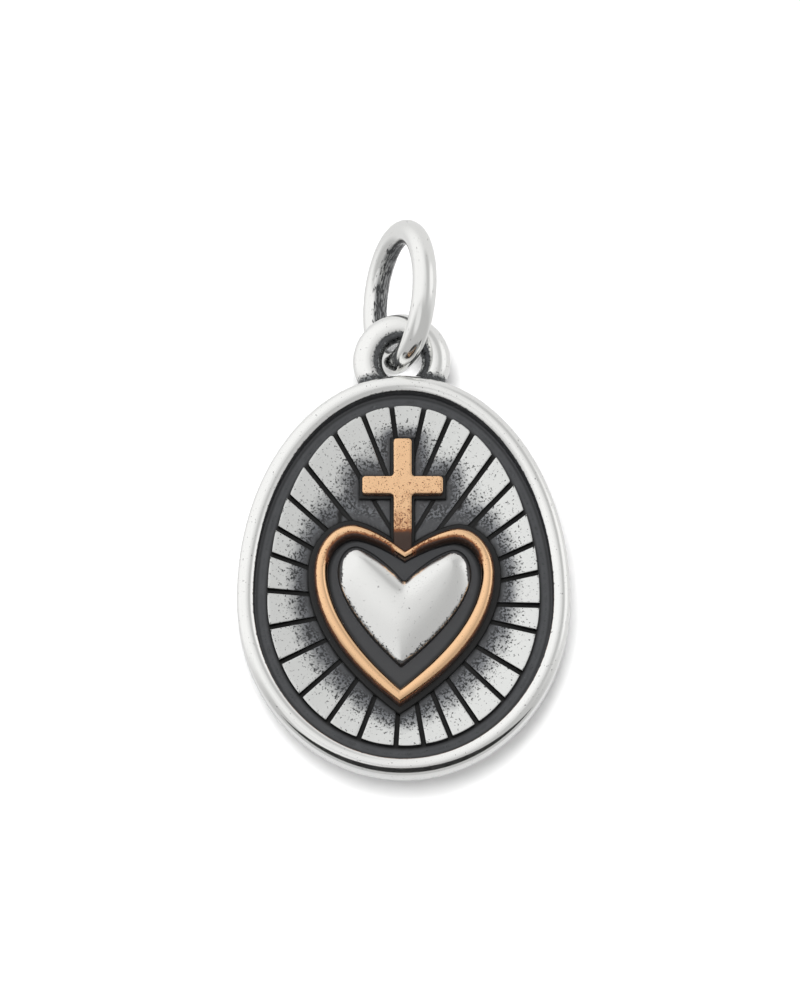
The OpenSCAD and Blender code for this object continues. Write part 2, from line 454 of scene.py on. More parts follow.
def loft(name: str, layers: Sequence[Layer], close: Close) -> bpy.types.Object:
    """Builds a shell outline by outline, as by hand.

    A primitive circle is laid on the first outline, and its edge is extruded to each next one.

    Args:
        name: The new object's name.
        layers: The outlines, all with the same number of points.
        close: How the shell is closed.

    Returns:
        The closed shell, its faces outwards, with its patina and painted shade as a point attribute.
    """
    select_nothing()
    count = len(layers[0].points)
    bpy.ops.mesh.primitive_circle_add(vertices=count, radius=MM, fill_type="NOTHING")
    shell = bpy.context.object
    shell.name = name
    bpy.ops.object.mode_set(mode="EDIT")
    mesh = bmesh.from_edit_mesh(shell.data)
    mesh.verts.layers.int.new("station")
    mesh.verts.layers.int.new("layer")
    mesh.verts.layers.float.new(PATINA_AND_SHADE)
    station = mesh.verts.layers.int["station"]
    for i, vert in enumerate(mesh.verts):
        vert[station] = i
    bpy.ops.mesh.select_all(action="SELECT")
    for number, layer in enumerate(layers):
        if number:
            bpy.ops.mesh.extrude_edges_move()
        mesh = bmesh.from_edit_mesh(shell.data)
        station = mesh.verts.layers.int["station"]
        rank = mesh.verts.layers.int["layer"]
        patina = mesh.verts.layers.float[PATINA_AND_SHADE]
        places = [PLACE.hung(x, y, layer.height) for x, y in layer.points]
        for vert in mesh.verts:
            if vert.select:
                vert.co = places[vert[station]]
                vert[rank] = number
                vert[patina] = layer.patina
        bmesh.update_edit_mesh(shell.data)
    ends = [{0}, {len(layers) - 1}] if close is Close.CAPS else [{0, len(layers) - 1}]
    for chosen in ends:
        mesh = bmesh.from_edit_mesh(shell.data)
        rank = mesh.verts.layers.int["layer"]
        choose_edges(shell, lambda e: e.verts[0][rank] == e.verts[1][rank] and e.verts[0][rank] in chosen)
        if close is Close.CAPS:
            bpy.ops.mesh.edge_face_add()
        else:
            bpy.ops.mesh.bridge_edge_loops()
    close_up(shell)
    return shell


def darken(piece: bpy.types.Object, rule: Rule) -> None:
    """Writes a piece's patina and the painted shade past it.

    Args:
        piece: The piece, its places in its mesh.
        rule: Gives the patina, with painted shade past 1, for rows of x, y and h on the lying medal.
    """
    layer = piece.data.attributes.get(PATINA_AND_SHADE) or piece.data.attributes.new(PATINA_AND_SHADE, "FLOAT", "POINT")
    values = np.clip(rule(lying_places(piece)), 0.0, FILM_AND_PAINTED_SHADE)
    layer.data.foreach_set("value", values.astype(np.float32))


def settle(piece: bpy.types.Object, part: Part, metal: bpy.types.Material) -> bpy.types.Object:
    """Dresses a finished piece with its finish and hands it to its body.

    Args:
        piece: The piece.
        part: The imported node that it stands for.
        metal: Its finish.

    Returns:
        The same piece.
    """
    node, body, slot = part.value
    take(piece)
    bpy.ops.object.transform_apply(location=True, rotation=True, scale=True)
    bpy.ops.object.shade_smooth_by_angle(angle=SMOOTH_UP_TO)
    piece.data.materials.clear()
    piece.data.materials.append(metal)
    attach(piece, body.value)
    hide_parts(node)
    piece.data.calc_loop_triangles()
    log.info("%s: %d triangles", piece.name, len(piece.data.loop_triangles))
    return piece


# Finishes


def linear(colour: str) -> tuple[float, float, float, float]:
    """Turns an sRGB hex colour into Blender's linear numbers.

    Args:
        colour: The colour as #RRGGBB.

    Returns:
        Red, green, blue and a full alpha.
    """
    parts = [int(colour[i : i + 2], 16) / 255 for i in (1, 3, 5)]
    made = [c / 12.92 if c <= 0.04045 else ((c + 0.055) / 1.055) ** 2.4 for c in parts]
    return (made[0], made[1], made[2], 1.0)


def fresh_tree(owner: bpy.types.Material | bpy.types.World) -> bpy.types.NodeTree:
    """Gives a new material or world its own empty nodes.

    Args:
        owner: The material or world.

    Returns:
        Its node tree.
    """
    owner.use_nodes = True
    owner.node_tree.nodes.clear()
    return owner.node_tree


def add_node(
    tree: bpy.types.NodeTree, kind: str, inputs: dict | None = None, **settings: object
) -> bpy.types.NodeOutputs:
    """Adds a node with its settings.

    Args:
        tree: The tree it goes in.
        kind: Its type, without the words ShaderNode in front.
        inputs: For each input's name or number, the output that feeds it or its plain value.
        settings: Its own settings by name.

    Returns:
        Its outputs.
    """
    made = tree.nodes.new(f"ShaderNode{kind}")
    for name, value in settings.items():
        setattr(made, name, value)
    for name, value in (inputs or {}).items():
        if isinstance(value, bpy.types.NodeSocket):
            tree.links.new(value, made.inputs[name])
        else:
            made.inputs[name].default_value = value
    return made.outputs


def per_metre(size_mm: float) -> float:
    """Turns a pattern's feature size in millimetres into a texture scale."""
    return 1 / (size_mm * MM)


class Grain(Enum):
    """What a finish's pattern follows."""

    CASTING = "the casting, the same in every direction"
    WIRE = "the wire's own length, by the piece's UV map"


@dataclass(frozen=True)
class AntiquedMetal:
    """A cast metal, blackened and polished so that its recesses stay dark, its narrowest corners darker
    with painted shade.

    Attributes:
        name: The material's name.
        bright: Colour of the polished metal.
        worn: Colour of the thin film where the polish only just reached.
        pit: Colour of the black that stays in single pits.
        black: Colour of the full film.
        painted_shade: Colour of the film with painted shade over it, in the narrowest corners.
        polish: Roughness of the polished metal.
        dull: Roughness of the black film.
        speck_mm: Size of the pits that hold black.
        first: Height in the noise of the first pits, where 0.5 is half of them all.
        spread: How fast more pits hold black as the patina grows.
        patchiness: How much wider patches change the patina.
        veil: Patina at which the thin film starts and is full.
        cover: Patina at which the full film starts and is closed.
        grain_mm: Size of the casting's soft unevenness.
        bump_mm: Height of that unevenness.
        follows: What the pits and patches follow.
    """

    name: str
    bright: str
    worn: str
    pit: str
    black: str
    painted_shade: str
    polish: float
    dull: float
    speck_mm: float = 0.1
    first: float = 0.72
    spread: float = 0.34
    patchiness: float = 0.5
    veil: Point = (0.25, 0.8)
    cover: Point = (0.7, 1.15)
    grain_mm: float = 0.5
    bump_mm: float = 0.004
    follows: Grain = Grain.CASTING

    def place(self, tree: bpy.types.NodeTree) -> bpy.types.NodeSocket:
        """Adds the coordinates that the pattern follows.

        Args:
            tree: The material's nodes.

        Returns:
            Their output, in metres.
        """
        coordinates = add_node(tree, "TexCoord")
        if self.follows is Grain.CASTING:
            return coordinates["Object"]
        size = Vector((WIRE_LENGTH / STREAK, WIRE_GIRTH, 0.0)) * MM
        return add_node(tree, "Mapping", {"Vector": coordinates["UV"], "Scale": size})[0]

    def build(self) -> bpy.types.Material:
        """Makes the material.

        Returns:
            The finished material.
        """
        metal = bpy.data.materials.new(self.name)
        tree = fresh_tree(metal)
        place = self.place(tree)
        noises = []
        for size, detail in ((self.speck_mm * 5, 2.0), (self.speck_mm, 2.0), (self.grain_mm, 1.0)):
            inputs = {"Vector": place, "Scale": per_metre(size), "Detail": detail, "Roughness": 0.6}
            noises.append(add_node(tree, "TexNoise", inputs)["Fac"])
        patches, specks, unevenness = noises
        film = add_node(tree, "Attribute", attribute_name=PATINA_AND_SHADE)["Fac"]
        inputs = {0: patches, 1: self.patchiness, 2: film}
        patina = add_node(tree, "Math", inputs, operation="MULTIPLY_ADD")[0]
        inputs = {0: patina, 1: self.spread, 2: specks}
        pits = add_node(tree, "Math", inputs, operation="MULTIPLY_ADD")[0]
        middle = self.patchiness / 2
        first = self.first + self.spread * middle
        shares = []
        for value, low, high in (
            (pits, first - 0.05, first + 0.05),
            (patina, self.cover[0] + middle, self.cover[1] + middle),
            (patina, self.veil[0] + middle, self.veil[1] + middle),
            (film, 1.0, FILM_AND_PAINTED_SHADE),
        ):
            inputs = {"Value": value, "From Min": low, "From Max": high}
            shares.append(add_node(tree, "MapRange", inputs, interpolation_type="SMOOTHSTEP")[0])
        pitted, covered, veiled, shade_share = shares
        inputs = {"Factor": veiled, 6: linear(self.bright), 7: linear(self.worn)}
        polished = add_node(tree, "Mix", inputs, data_type="RGBA")[2]
        soot = linear(self.pit)
        # Past the full film the soot darkens further: painted shade in the narrowest corners.
        for share, colour in ((covered, self.black), (shade_share, self.painted_shade)):
            inputs = {"Factor": share, 6: soot, 7: linear(colour)}
            soot = add_node(tree, "Mix", inputs, data_type="RGBA")[2]
        dark = add_node(tree, "Math", {0: pitted, 1: covered}, operation="MAXIMUM")[0]
        sunk = add_node(tree, "Math", {0: dark, 1: -0.3, 2: unevenness}, operation="MULTIPLY_ADD")[0]
        inputs = {"Strength": 1.0, "Distance": self.bump_mm * MM, "Height": sunk}
        bump = add_node(tree, "Bump", inputs)["Normal"]
        coats = []
        for colour, metallic, roughness in ((polished, 1.0, self.polish), (soot, 0.0, self.dull)):
            inputs = {"Base Color": colour, "Metallic": metallic, "Roughness": roughness, "Normal": bump}
            coats.append(add_node(tree, "BsdfPrincipled", inputs)["BSDF"])
        whole = add_node(tree, "MixShader", {0: dark, 1: coats[0], 2: coats[1]})[0]
        add_node(tree, "OutputMaterial", {"Surface": whole})
        return metal


# The medal's pieces. Each has a make that builds it. The plate and the step have their patina in
# their layers, and the others have a film that says how black they are.


@dataclass
class Blank:
    """The medal's plate with its rounded rim, its sunk face and its plain back."""

    thickness: float = 2.0
    floor: float = 0.9
    rim: float = 0.75
    crown: float = 0.43
    back_round: float = 0.25
    foot_round: float = 0.08
    stations: int = 360
    # How far from the rim's foot, and how black: the channel between the rim and the rays. Past 1
    # it is painted shade, in the corners at the rim's foot and at the rays' feet.
    channel: tuple[Point, ...] = (
        (0.06, 1.6), (0.14, 1.2), (0.24, 1.0), (0.34, 1.05), (0.46, 1.5), (0.54, FILM_AND_PAINTED_SHADE),
    )

    def section(self) -> list[tuple[float, float, float]]:
        """Draws the edge's section, from the back to the floor.

        Returns:
            Insets, heights and patina.
        """
        turned = self.back_round
        made = [(turned * (1 - math.sin(a)), turned * (1 - math.cos(a)), 0.1) for a in arc(0, 90, 6)]
        edge = math.degrees(math.acos(self.rim / self.crown - 1))
        for a in arc(180, edge, 26):
            across = self.crown * (1 + math.cos(a))
            ragged = 0.4 if across > self.rim - 0.05 else 0.0
            made.append((across, self.thickness - self.crown * (1 - math.sin(a)), ragged))
        lip = made[-1][1]
        # The rim's inner wall and its foot take more than the full film: painted shade in the recess.
        made[-1] = (self.rim, lip, 1.3)
        made += [(self.rim, lip - 0.02, FILM_AND_PAINTED_SHADE), (self.rim, lip - 0.1, FILM_AND_PAINTED_SHADE), (self.rim, lip - 0.2, 1.35)]
        for a in arc(180, 270, 4):
            across = self.rim + self.foot_round * (1 + math.cos(a))
            made.append((across, self.floor + self.foot_round * (1 + math.sin(a)), 1.5))
        made += [(self.rim + self.foot_round + d, self.floor, film) for d, film in self.channel]
        return made

    def shell(self, name: str, margin: float) -> bpy.types.Object:
        """Lofts the plate.

        Args:
            name: The shell's name.
            margin: How far it is set in all round.

        Returns:
            The shell.
        """
        middle = self.floor / 2
        layers = []
        for depth, height, film in self.section():
            level = height + math.copysign(margin, middle - height)
            layers.append(Layer(EGG.ring(depth + margin, self.stations), level, film))
        return loft(name, layers, Close.CAPS)

    def make(self, metal: bpy.types.Material) -> bpy.types.Object:
        """Builds and dresses the plate."""
        return settle(self.shell("medal_plate_and_rim", 0.0), Part.MEDAL, metal)


@dataclass
class RayField:
    """The raised rays round the heart, cut apart by narrow dark lines."""

    # Bearings of the cuts in degrees, unevenly spaced as on the real one.
    cuts: tuple[int, ...] = (
        7, 16, 25, 35, 46, 57, 69, 80, 93, 104, 122, 135, 149, 161, 172,
        183, 198, 212, 227, 243, 258, 273, 287, 297, 309, 321, 335, 346, 356,
    )
    inset: float = 1.37
    top: float = 1.5
    low: float = 1.02
    fall: float = 0.17
    foot: float = 0.6
    cut: float = 0.22
    cut_taper: float = 1 / 3
    corner: float = 0.14
    bevel: float = 0.045
    aim_up: float = 4.9
    aim_down: float = 1.3
    aim_power: int = 5
    reach: float = 0.92
    least: float = 0.1
    across: int = 10
    along: int = 40

    def aim(self, start: np.ndarray) -> np.ndarray:
        """Finds the point that a cut runs to.

        Args:
            start: The cut's outer end.

        Returns:
            A point on the medal's middle line.
        """
        far, way = (self.aim_up, EGG.up) if start[1] > 0 else (-self.aim_down, EGG.down)
        return np.array([0.0, far * (abs(start[1]) / (way - self.inset)) ** self.aim_power])

    def beside(self, bearing: float, share: float, hand: int) -> np.ndarray:
        """Gives a point of a ray's edge.

        Args:
            bearing: Bearing of the cut that the edge lies along.
            share: Share of the way from the channel to the cut's aim.
            hand: 1 on the cut's clockwise side, or -1.

        Returns:
            The point on the lying medal.
        """
        start = EGG.inset(bearing, self.inset)
        run = self.aim(start) - start
        aside = np.array([-run[1], run[0]]) / np.hypot(*run) * hand
        return start + run * share + aside * self.cut * (1 - share * self.cut_taper) / 2

    def inner_end(self, start: float, stop: float) -> tuple[np.ndarray, np.ndarray]:
        """Finds where a ray has run as far as it can and is still wide enough.

        Args:
            start: Bearing of the cut before it, clockwise.
            stop: Bearing of the cut after it.

        Returns:
            The inner ends of its two edges.
        """
        share = self.reach
        middle = EGG.inset((start + stop) / 2, self.inset)
        aside = np.array([-middle[1], middle[0]]) / np.hypot(*middle)
        while True:
            first, last = self.beside(start, share, 1), self.beside(stop, share, -1)
            if (first - last) @ aside > self.least or share < 0.5:
                return first, last
            share -= 0.01

    @staticmethod
    def stands_under(edge: bmesh.types.BMEdge, corners: Sequence[Vector]) -> bool:
        """Says whether an edge stands upright under one of a ray's corners.

        Args:
            edge: The edge.
            corners: The top's corners.

        Returns:
            True if it does.
        """
        low, high = sorted((vert.co for vert in edge.verts), key=lambda co: -co.y)
        upright = low.y - high.y > 100 * HAIR and (low.xz - high.xz).length < HAIR
        return upright and any((high - corner).length < HAIR for corner in corners)

    def ray(self, start: float, stop: float) -> bpy.types.Object:
        """Shapes one ray out of a grid, between two cuts.

        Args:
            start: Bearing of the cut before it, clockwise.
            stop: Bearing of the cut after it.

        Returns:
            A closed wedge with rounded upright corners.
        """
        select_nothing()
        bpy.ops.mesh.primitive_grid_add(x_subdivisions=self.across, y_subdivisions=self.along, size=1)
        wedge = bpy.context.object
        inner = self.inner_end(start, stop)
        sides = (self.beside(start, 0, 1), self.beside(stop, 0, -1))
        ends = (EGG.inset(start, self.inset), EGG.inset(stop, self.inset))
        corners = []
        for vert in wedge.data.vertices:
            u, v = vert.co.x + 0.5, 0.5 - vert.co.y
            outer = EGG.inset(start + (stop - start) * u, self.inset)
            outer = outer + (sides[0] - ends[0]) * (1 - u) + (sides[1] - ends[1]) * u
            place = outer * (1 - v) + (inner[0] * (1 - u) + inner[1] * u) * v
            height = max(self.top - self.fall * np.hypot(*(place - outer)), self.low)
            vert.co = PLACE.hung(place[0], place[1], height)
            if {u, v} <= {0.0, 1.0}:
                corners.append(vert.co.copy())
        bpy.ops.object.mode_set(mode="EDIT")
        bpy.ops.mesh.select_all(action="SELECT")
        bpy.ops.mesh.extrude_region_move()
        mesh = bmesh.from_edit_mesh(wedge.data)
        for vert in mesh.verts:
            if vert.select:
                vert.co.y = PLACE.hung(0, 0, self.foot).y
        choose_edges(wedge, lambda edge: self.stands_under(edge, corners))
        bpy.ops.mesh.bevel(offset=self.corner * MM, segments=4, affect="EDGES", clamp_overlap=True)
        close_up(wedge)
        return wedge

    def film(self, lying: np.ndarray) -> np.ndarray:
        """Says how black the rays are: bright at their outer ends, black near the heart, and past
        the full film, as painted shade, at the step's foot and on the walls of the cuts.

        Args:
            lying: Rows of x, y and h on the lying medal.

        Returns:
            The patina of each.
        """
        heart = HEART.outer(HEART.step, (8, 8, 16))
        cross = Cross().plan(HEART.step / 2)
        inner = np.minimum(distance_to(lying, heart), 1.6 * distance_to(lying, cross))
        inner[inside(lying, heart) | inside(lying, cross)] = 0.0
        outer = distance_to(lying, EGG.ring(self.inset, 120))
        share = inner / (inner + outer + 1e-6)
        film = 0.08 + 1.15 * np.clip(1 - share / 0.75, 0.0, 1.0)
        # Painted shade past the full film at the foot of the step round the heart and cross.
        film = np.maximum(film, 1.8 * (1 - smoothstep(0.0, 0.3, inner)))
        level = np.maximum(self.top - self.fall * outer, self.low)
        # Painted shade on the walls that drop below the ray tops, down the cuts.
        return np.where(lying[:, 2] < level - 0.03, FILM_AND_PAINTED_SHADE, film)

    def make(self, metal: bpy.types.Material) -> bpy.types.Object:
        """Builds, joins and dresses the rays.

        Args:
            metal: Their finish.

        Returns:
            The piece.
        """
        stops = (*self.cuts[1:], self.cuts[0] + 360)
        piece = join("rays", [self.ray(a, b) for a, b in zip(self.cuts, stops, strict=True)])
        finish_with(
            piece,
            "BEVEL",
            width=self.bevel * MM,
            segments=3,
            limit_method="ANGLE",
            angle_limit=SHARP_FROM,
            use_clamp_overlap=False,
        )
        darken(piece, self.film)
        return settle(piece, Part.MEDAL, metal)


@dataclass
class BronzeStep:
    """The blackened step under the bronze, with the moat sunk inside it, both darkened further with painted
    shade.
    """

    foot: float = 0.6
    edge_round: float = 0.1

    def make(self, metal: bpy.types.Material) -> bpy.types.Object:
        """Builds and dresses the step under the heart and the one under the cross.

        Args:
            metal: Their finish.

        Returns:
            The piece.
        """
        turns = arc(0, 90, 4)
        turned = [(self.edge_round * (1 - math.cos(a)), self.edge_round * (1 - math.sin(a))) for a in turns]
        top, aside = HEART.step_top, HEART.step
        # The step and the moat's walls take more than the full film: painted shade in this recess round the
        # bronze, a little less on the moat's floor.
        layers = [Layer(HEART.outer(aside), self.foot, FILM_AND_PAINTED_SHADE)]
        layers += [Layer(HEART.outer(aside - side), top - drop, FILM_AND_PAINTED_SHADE) for side, drop in turned]
        inner = HEART.inner()
        layers += [Layer(inner, top, FILM_AND_PAINTED_SHADE), Layer(inner, HEART.moat_floor, FILM_AND_PAINTED_SHADE)]
        for share in (0.06, 0.12, 0.2):
            moat = [(x * (1 - share), y + (HEART.middle_y - y) * share) for x, y in inner]
            layers.append(Layer(moat, HEART.moat_floor, 1.35))
        under_heart = loft("step_under_heart", layers, Close.CAPS)
        plan, aside = Cross().plan, HEART.step / 2
        # The step under the cross is darkened the same way, with painted shade.
        layers = [Layer(plan(aside), self.foot, FILM_AND_PAINTED_SHADE)]
        layers += [Layer(plan(aside - side), top - 0.01 - drop, FILM_AND_PAINTED_SHADE) for side, drop in turned]
        under_cross = loft("step_under_cross", layers, Close.CAPS)
        return settle(join("step_under_bronze", [under_heart, under_cross]), Part.MEDAL, metal)


@dataclass
class PuffedHeart:
    """The silver heart that swells from the moat to a soft V-shaped crest."""

    width: float = 6.02
    up: float = 1.14
    down: float = 4.24
    lobe: float = 2.2
    notch: float = 1.53
    flank: float = 1.65
    top: float = 2.3
    foot: float = 0.6
    edge: float = 0.6
    swell: float = 2.0
    crest_x: float = 0.62
    crest_drop: float = 0.33
    crest_up: float = 0.45
    crest_bend: float = 0.7
    layers: int = 16
    voxel: float = 0.05

    def crest(self, x: float) -> Point:
        """Finds the crest, a V with a soft bend, over a point of the outline.

        Args:
            x: How far the point is to the side.

        Returns:
            The crest's point.
        """
        low = -self.crest_drop * self.down
        slope = (self.crest_up * self.up - low) / self.lobe
        return (x * self.crest_x, low + slope * (math.hypot(x, self.crest_bend) - self.crest_bend))

    def layer(self, share: float) -> Layer:
        """Draws the outline in towards the crest.

        Args:
            share: The share of the way.

        Returns:
            The outline at its height.
        """
        shape = HeartOutline(
            self.width / 2, self.up, self.down, self.lobe, self.up - self.notch, self.flank
        )
        drawn = []
        for x, y in shape.ring((20, 16, 40)):
            cx, cy = self.crest(x)
            drawn.append((x + (cx - x) * share, y + (cy - y) * share))
        rise = self.edge + (1 - self.edge) * (1 - (1 - share) ** self.swell)
        return Layer(HEART.set_in(drawn), HEART.moat_floor + (self.top - HEART.moat_floor) * rise)

    def film(self, lying: np.ndarray) -> np.ndarray:
        """Says how black the heart is: its foot, past the full film with painted shade where it meets the
        moat and reaching higher on the upper lobes, and a ragged edge along its lower flanks.

        Args:
            lying: Rows of x, y and h on the lying medal.

        Returns:
            The patina of each.
        """
        rise = lying[:, 2] - HEART.moat_floor - 0.16 * smoothstep(0.2, 1.2, lying[:, 1])
        # Painted shade past the full film at the foot.
        foot = 1.8 * (1 - smoothstep(0.6, 0.78, rise))
        flank = 1 - smoothstep(0.04, 0.26, distance_to(lying, self.layer(0).points))
        low = 1 - smoothstep(-0.5, 2.2, lying[:, 1])
        return np.maximum(foot, 0.6 * flank * low)

    def make(self, metal: bpy.types.Material) -> bpy.types.Object:
        """Builds, softens and dresses the heart.

        Args:
            metal: Its finish.

        Returns:
            The piece.
        """
        shares = [i / self.layers * 0.97 for i in range(self.layers + 1)]
        base = Layer(self.layer(0).points, self.foot)
        piece = loft("puffed_heart", [base, *map(self.layer, shares)], Close.CAPS)
        remesh(piece, self.voxel, 3)
        lying = lying_places(piece)
        within = smoothstep(0.1, 0.5, distance_to(lying, self.layer(0).points))
        aside = np.abs(lying[:, 0] - HEART.set_in([(0.0, 0.0)])[0][0])
        middle = (1 - smoothstep(0.15, 0.5, aside)) * smoothstep(1.6, 1.9, lying[:, 2])
        middle *= 1 - smoothstep(-0.5, 1.0, lying[:, 1])
        soften(piece, "dome", np.maximum(within, middle), 150)
        darken(piece, self.film)
        return settle(piece, Part.MEDAL, metal)


@dataclass
class HangingEye:
    """The eye's round wall at the medal's top, with fillets into the rim."""

    wire: float = 1.31
    radius: float = 1.55
    rise: float = 0.76
    level: float = 0.95
    shift: float = -0.08
    voxel: float = 0.05
    root_from: float = 8.75

    def root(self) -> bpy.types.Object:
        """Cuts the top off a copy of the plate for the eye to grow out of.

        Returns:
            The root, a hair inside the plate.
        """
        piece = Blank().shell("root", 0.03)
        take(piece)
        bpy.ops.object.mode_set(mode="EDIT")
        bpy.ops.mesh.select_all(action="SELECT")
        cut_at = PLACE.hung(0, self.root_from, 0)
        bpy.ops.mesh.bisect(plane_co=cut_at, plane_no=(0, 0, 1), use_fill=True, clear_inner=True)
        bpy.ops.object.mode_set(mode="OBJECT")
        return piece

    def wall(self) -> bpy.types.Object:
        """Turns the eye's round wall.

        Returns:
            The wall, in its place.
        """
        select_nothing()
        bpy.ops.mesh.primitive_torus_add(
            location=PLACE.hung(self.shift, EGG.up + self.rise, self.level),
            rotation=(math.radians(90), 0, 0),
            major_radius=self.radius * MM,
            minor_radius=self.wire / 2 * MM,
            major_segments=120,
            minor_segments=40,
        )
        bpy.ops.object.transform_apply(location=True, rotation=True, scale=True)
        return bpy.context.object

    def cut_to_rim(self, piece: bpy.types.Object) -> None:
        """Cuts away all that reaches past the middle of the rim, over the sunk face.

        Args:
            piece: The joined eye.
        """
        ring = EGG.ring(Blank().crown, 180)
        past = loft("past_the_rim", [Layer(ring, -1.0), Layer(ring, 3.0)], Close.CAPS)
        finish_with(piece, "BOOLEAN", object=past, operation="DIFFERENCE", solver="EXACT")
        bpy.data.objects.remove(past)

    def from_axis(self, lying: np.ndarray) -> np.ndarray:
        """Measures how far places are from the axis of the eye's hole."""
        return np.hypot(lying[:, 0] - self.shift, lying[:, 1] - EGG.up - self.rise)

    def crease(self, lying: np.ndarray, reach: float) -> np.ndarray:
        """Says how near places are to the line where the wall meets the rim.

        Args:
            lying: Rows of x, y and h on the lying medal.
            reach: How far off it ends.

        Returns:
            1 on the line, 0 past the reach.
        """
        off = np.hypot(self.from_axis(lying) - self.radius, lying[:, 2] - self.level)
        near = 1 - smoothstep(0.1, reach, distance_to(lying, EGG.ring(0.1, 120)))
        return near * (1 - smoothstep(0.05, reach, np.abs(off - self.wire / 2)))

    def film(self, lying: np.ndarray) -> np.ndarray:
        """Says how black the eye is: round its hole and where it meets the rim.

        Args:
            lying: Rows of x, y and h on the lying medal.

        Returns:
            The patina of each.
        """
        reach = self.from_axis(lying) - self.radius
        hole = 1.05 * (1 - smoothstep(-0.4, -0.1, reach)) - 0.45 * (1 - smoothstep(-0.6, -0.32, reach))
        return np.maximum(hole, self.crease(lying, 0.7) * 0.85)

    def make(self, metal: bpy.types.Material) -> bpy.types.Object:
        """Joins the eye's wall and root, fills their crease softly and dresses the eye.

        Args:
            metal: Its finish.

        Returns:
            The piece.
        """
        piece = join("hanging_eye", [self.wall(), self.root()])
        remesh(piece, self.voxel, 2)
        soften(piece, "crease", self.crease(lying_places(piece), 0.55), 40)
        self.cut_to_rim(piece)
        darken(piece, self.film)
        return settle(piece, Part.MEDAL, metal)


# The bronze pieces


@dataclass
class HeartBand:
    """The half-round bronze band in the shape of a heart."""

    top: float = 2.15
    wall: float = 0.25
    steps: int = 16

    def make(self, metal: bpy.types.Material) -> bpy.types.Object:
        """Builds and dresses the band.

        Args:
            metal: Its finish.

        Returns:
            The piece.
        """
        outer, inner = HEART.outer(), HEART.inner()
        foot = HEART.step_top - 0.02
        shoulder = HEART.step_top + self.wall
        layers = [Layer(outer, foot)]
        for a in arc(180, 0, self.steps):
            share = 0.5 + 0.5 * math.copysign(abs(math.cos(a)) ** 0.85, math.cos(a))
            points = [
                (ax + (bx - ax) * share, ay + (by - ay) * share)
                for (ax, ay), (bx, by) in zip(outer, inner, strict=True)
            ]
            layers.append(Layer(points, shoulder + (self.top - shoulder) * math.sin(a) ** 0.8))
        layers.append(Layer(inner, foot))
        piece = loft("bronze_heart_band", layers, Close.LOOP)
        darken(piece, self.film)
        return settle(piece, Part.BRONZE, metal)

    def film(self, lying: np.ndarray) -> np.ndarray:
        """Says how black the band is: its feet and outer side, and more on the inner side of its lobes;
        past the full film, at its feet and by the moat on its lobes, it is painted shade.

        Args:
            lying: Rows of x, y and h on the lying medal.

        Returns:
            The patina of each.
        """
        rise = (lying[:, 2] - HEART.step_top) / (self.top - HEART.step_top)
        # Painted shade past the full film at the feet, where the band meets the step.
        feet = 1.5 * (1 - smoothstep(0.1, 0.5, rise))
        side = 1.1 * (1 - smoothstep(0.03, 0.17, distance_to(lying, HEART.outer(0.0, COARSE))))
        off = distance_to(lying, HEART.inner(COARSE))
        lobes = smoothstep(1.0, 2.2, lying[:, 1]) * smoothstep(0.1, 0.8, np.abs(lying[:, 0]))
        mottled = 1.1 * (1 - smoothstep(0.05, 0.42, off)) * lobes
        # The patina by the moat on the lobes, with painted shade past the full film.
        black = 1.4 * (1 - smoothstep(0.1, 0.22, off)) * lobes
        return np.maximum.reduce([feet, side, mottled, black])


